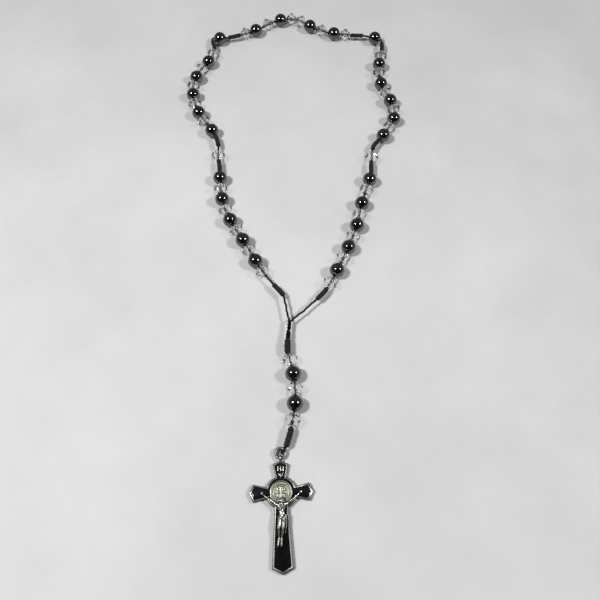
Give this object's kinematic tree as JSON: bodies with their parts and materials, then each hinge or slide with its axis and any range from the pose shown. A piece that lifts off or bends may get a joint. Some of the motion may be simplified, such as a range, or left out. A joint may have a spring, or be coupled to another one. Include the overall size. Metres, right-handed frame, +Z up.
{
  "type": "rope rosary",
  "caption": "Rope rosary laid flat: a loop of round gunmetal beads and clear crystals on a knotted black cord, with a short drop and an enamelled crucifix.",
  "frame": {"origin": "middle of the bounding box, on the surface that the rosary lies on", "axes": "+Z up, +Y from the crucifix towards the far end of the loop, +X to the right with the crucifix nearest"},
  "size_m": [0.1306, 0.3391, 0.008],
  "materials": {
    "hematite": "polished gunmetal",
    "clear_crystal": "clear cut crystal",
    "black_cord": "braided waxed cord",
    "silver_alloy": "cast, silver plated and polished",
    "black_enamel": "glossy",
    "pale_silver": "struck relief, soft polish",
    "ring_steel": "bright wire"
  },
  "bodies": {
    "centre": {"centre_knot": "black_cord"},
    "left_lower": {"left_lower_cord": "black_cord", "crystal_01": "clear_crystal", "crystal_02": "clear_crystal", "crystal_03": "clear_crystal", "crystal_04": "clear_crystal", "crystal_05": "clear_crystal"},
    "left_upper": {"left_upper_cord": "black_cord", "crystal_06": "clear_crystal", "crystal_07": "clear_crystal", "crystal_08": "clear_crystal", "crystal_09": "clear_crystal"},
    "top": {"top_cord": "black_cord"},
    "right_upper": {"right_upper_cord": "black_cord", "crystal_10": "clear_crystal", "crystal_11": "clear_crystal", "crystal_12": "clear_crystal", "crystal_13": "clear_crystal"},
    "right_lower": {"right_lower_cord": "black_cord", "crystal_14": "clear_crystal", "crystal_15": "clear_crystal", "crystal_16": "clear_crystal", "crystal_17": "clear_crystal", "crystal_18": "clear_crystal"},
    "drop_middle": {"drop_cord_upper": "black_cord"},
    "drop_end": {"drop_cord_lower": "black_cord"},
    "ring": {"jump_ring": "ring_steel"},
    "crucifix": {"crucifix_frame": "silver_alloy", "crucifix_enamel": "black_enamel", "medal_disc": "pale_silver", "title_plaque": "silver_alloy", "corpus": "silver_alloy"},
    "bead_01": {"bead_01": "hematite"},
    "bead_02": {"bead_02": "hematite"},
    "bead_03": {"bead_03": "hematite"},
    "bead_04": {"bead_04": "hematite"},
    "bead_05": {"bead_05": "hematite"},
    "bead_06": {"bead_06": "hematite"},
    "bead_07": {"bead_07": "hematite"},
    "bead_08": {"bead_08": "hematite"},
    "bead_09": {"bead_09": "hematite"},
    "bead_10": {"bead_10": "hematite"},
    "bead_11": {"bead_11": "hematite"},
    "bead_12": {"bead_12": "hematite"},
    "bead_13": {"bead_13": "hematite"},
    "bead_14": {"bead_14": "hematite"},
    "bead_15": {"bead_15": "hematite"},
    "bead_16": {"bead_16": "hematite"},
    "bead_17": {"bead_17": "hematite"},
    "bead_18": {"bead_18": "hematite"},
    "bead_19": {"bead_19": "hematite"},
    "bead_20": {"bead_20": "hematite"},
    "bead_21": {"bead_21": "hematite"},
    "bead_22": {"bead_22": "hematite"},
    "bead_23": {"bead_23": "hematite"},
    "bead_24": {"bead_24": "hematite"},
    "bead_25": {"bead_25": "hematite"},
    "bead_26": {"bead_26": "hematite"},
    "bead_27": {"bead_27": "hematite"},
    "bead_28": {"bead_28": "hematite"}
  },
  "joints": [
    {"name": "loop_squeeze", "type": "hinge", "parent": "centre", "child": "left_lower", "pos_m": [-0.0007, -0.0542, 0.004], "axis": [0, 0, 1], "range_deg": [-7, 7]},
    {"name": "left_elbow", "type": "hinge", "parent": "left_lower", "child": "left_upper", "pos_m": [-0.04273, 0.05132, 0.004], "axis": [0, 0, 1], "range_deg": [-13.7, 13.7]},
    {"name": "left_corner", "type": "hinge", "parent": "left_upper", "child": "top", "pos_m": [-0.04735, 0.14717, 0.004], "axis": [0, 0, 1], "range_deg": [-6.7, 6.7]},
    {"name": "right_fork", "type": "hinge", "parent": "centre", "child": "right_lower", "pos_m": [-0.0007, -0.0542, 0.004], "axis": [0, 0, 1], "range_deg": [-7.5, 7.5]},
    {"name": "right_elbow", "type": "hinge", "parent": "right_lower", "child": "right_upper", "pos_m": [0.04614, 0.05022, 0.004], "axis": [0, 0, 1], "range_deg": [-16.5, 16.5]},
    {"name": "drop_swing", "type": "hinge", "parent": "centre", "child": "drop_middle", "pos_m": [0.00133, -0.0814, 0.004], "axis": [0, 0, 1], "range_deg": [-25, 25]},
    {"name": "drop_end_swing", "type": "hinge", "parent": "drop_middle", "child": "drop_end", "pos_m": [0.00225, -0.09613, 0.004], "axis": [0, 0, 1], "range_deg": [-25, 25]},
    {"name": "ring_tilt", "type": "hinge", "parent": "drop_end", "child": "ring", "pos_m": [-0.00292, -0.11719, 0.00175], "axis": [-0.766, 0.6428, 0], "range_deg": [0, 60]},
    {"name": "crucifix_tilt", "type": "hinge", "parent": "ring", "child": "crucifix", "pos_m": [-0.0044, -0.12125, 0.00175], "axis": [-1, 0, 0], "range_deg": [0, 90]},
    {"name": "bead_01_spin", "type": "hinge", "parent": "left_lower", "child": "bead_01", "pos_m": [-0.01896, -0.01883, 0.004], "axis": [-0.4896, 0.8719, 0], "continuous": true},
    {"name": "bead_02_spin", "type": "hinge", "parent": "left_lower", "child": "bead_02", "pos_m": [-0.02618, -0.00592, 0.004], "axis": [-0.5026, 0.8645, 0], "continuous": true},
    {"name": "bead_03_spin", "type": "hinge", "parent": "left_lower", "child": "bead_03", "pos_m": [-0.03358, 0.00689, 0.004], "axis": [-0.4436, 0.8962, 0], "continuous": true},
    {"name": "bead_04_spin", "type": "hinge", "parent": "left_lower", "child": "bead_04", "pos_m": [-0.03877, 0.0207, 0.004], "axis": [-0.2317, 0.9728, 0], "continuous": true},
    {"name": "bead_05_spin", "type": "hinge", "parent": "left_lower", "child": "bead_05", "pos_m": [-0.04077, 0.03535, 0.004], "axis": [-0.1061, 0.9944, 0], "continuous": true},
    {"name": "bead_06_spin", "type": "hinge", "parent": "left_upper", "child": "bead_06", "pos_m": [-0.04769, 0.07005, 0.004], "axis": [-0.5249, 0.8511, 0], "continuous": true},
    {"name": "bead_07_spin", "type": "hinge", "parent": "left_upper", "child": "bead_07", "pos_m": [-0.05643, 0.08389, 0.004], "axis": [-0.4359, 0.9, 0], "continuous": true},
    {"name": "bead_08_spin", "type": "hinge", "parent": "left_upper", "child": "bead_08", "pos_m": [-0.06093, 0.09842, 0.004], "axis": [-0.1384, 0.9904, 0], "continuous": true},
    {"name": "bead_09_spin", "type": "hinge", "parent": "left_upper", "child": "bead_09", "pos_m": [-0.06003, 0.11302, 0.004], "axis": [0.3005, 0.9538, 0], "continuous": true},
    {"name": "bead_10_spin", "type": "hinge", "parent": "left_upper", "child": "bead_10", "pos_m": [-0.05341, 0.12619, 0.004], "axis": [0.4675, 0.884, 0], "continuous": true},
    {"name": "bead_11_spin", "type": "hinge", "parent": "top", "child": "bead_11", "pos_m": [-0.04735, 0.14717, 0.004], "axis": [0.9901, 0.1407, 0], "continuous": true},
    {"name": "bead_12_spin", "type": "hinge", "parent": "top", "child": "bead_12", "pos_m": [-0.02421, 0.15474, 0.004], "axis": [0.8669, 0.4985, 0], "continuous": true},
    {"name": "bead_13_spin", "type": "hinge", "parent": "top", "child": "bead_13", "pos_m": [-0.00825, 0.16437, 0.004], "axis": [0.9567, 0.2911, 0], "continuous": true},
    {"name": "bead_14_spin", "type": "hinge", "parent": "top", "child": "bead_14", "pos_m": [0.01115, 0.15872, 0.004], "axis": [0.8187, -0.5742, 0], "continuous": true},
    {"name": "bead_15_spin", "type": "hinge", "parent": "top", "child": "bead_15", "pos_m": [0.02668, 0.15173, 0.004], "axis": [0.9748, -0.2232, 0], "continuous": true},
    {"name": "bead_16_spin", "type": "hinge", "parent": "top", "child": "bead_16", "pos_m": [0.05309, 0.14754, 0.004], "axis": [0.9285, -0.3714, 0], "continuous": true},
    {"name": "bead_17_spin", "type": "hinge", "parent": "right_upper", "child": "bead_17", "pos_m": [0.05471, 0.12418, 0.004], "axis": [0.1513, 0.9885, 0], "continuous": true},
    {"name": "bead_18_spin", "type": "hinge", "parent": "right_upper", "child": "bead_18", "pos_m": [0.05481, 0.10749, 0.004], "axis": [-0.2065, 0.9784, 0], "continuous": true},
    {"name": "bead_19_spin", "type": "hinge", "parent": "right_upper", "child": "bead_19", "pos_m": [0.05974, 0.09361, 0.004], "axis": [-0.2733, 0.9619, 0], "continuous": true},
    {"name": "bead_20_spin", "type": "hinge", "parent": "right_upper", "child": "bead_20", "pos_m": [0.06085, 0.07914, 0.004], "axis": [0.2672, 0.9637, 0], "continuous": true},
    {"name": "bead_21_spin", "type": "hinge", "parent": "right_upper", "child": "bead_21", "pos_m": [0.05374, 0.0663, 0.004], "axis": [0.5812, 0.8137, 0], "continuous": true},
    {"name": "bead_22_spin", "type": "hinge", "parent": "right_lower", "child": "bead_22", "pos_m": [0.0442, 0.03429, 0.004], "axis": [0.2607, 0.9654, 0], "continuous": true},
    {"name": "bead_23_spin", "type": "hinge", "parent": "right_lower", "child": "bead_23", "pos_m": [0.03903, 0.01789, 0.004], "axis": [0.2617, 0.9651, 0], "continuous": true},
    {"name": "bead_24_spin", "type": "hinge", "parent": "right_lower", "child": "bead_24", "pos_m": [0.0357, 0.00348, 0.004], "axis": [0.2764, 0.9611, 0], "continuous": true},
    {"name": "bead_25_spin", "type": "hinge", "parent": "right_lower", "child": "bead_25", "pos_m": [0.03058, -0.01039, 0.004], "axis": [0.39, 0.9208, 0], "continuous": true},
    {"name": "bead_26_spin", "type": "hinge", "parent": "right_lower", "child": "bead_26", "pos_m": [0.02414, -0.02437, 0.004], "axis": [0.427, 0.9043, 0], "continuous": true},
    {"name": "bead_27_spin", "type": "hinge", "parent": "centre", "child": "bead_27", "pos_m": [0.00133, -0.0814, 0.004], "axis": [0.1795, -0.9838, 0], "continuous": true},
    {"name": "bead_28_spin", "type": "hinge", "parent": "drop_middle", "child": "bead_28", "pos_m": [0.00225, -0.09613, 0.004], "axis": [-0.0637, -0.998, 0.0013], "continuous": true}
  ],
  "couplings": [
    {"joint": "left_elbow", "follows": "loop_squeeze", "ratio": -1.888},
    {"joint": "left_corner", "follows": "loop_squeeze", "ratio": 0.888},
    {"joint": "right_fork", "follows": "loop_squeeze", "ratio": -1},
    {"joint": "right_elbow", "follows": "loop_squeeze", "ratio": 2.283}
  ]
}
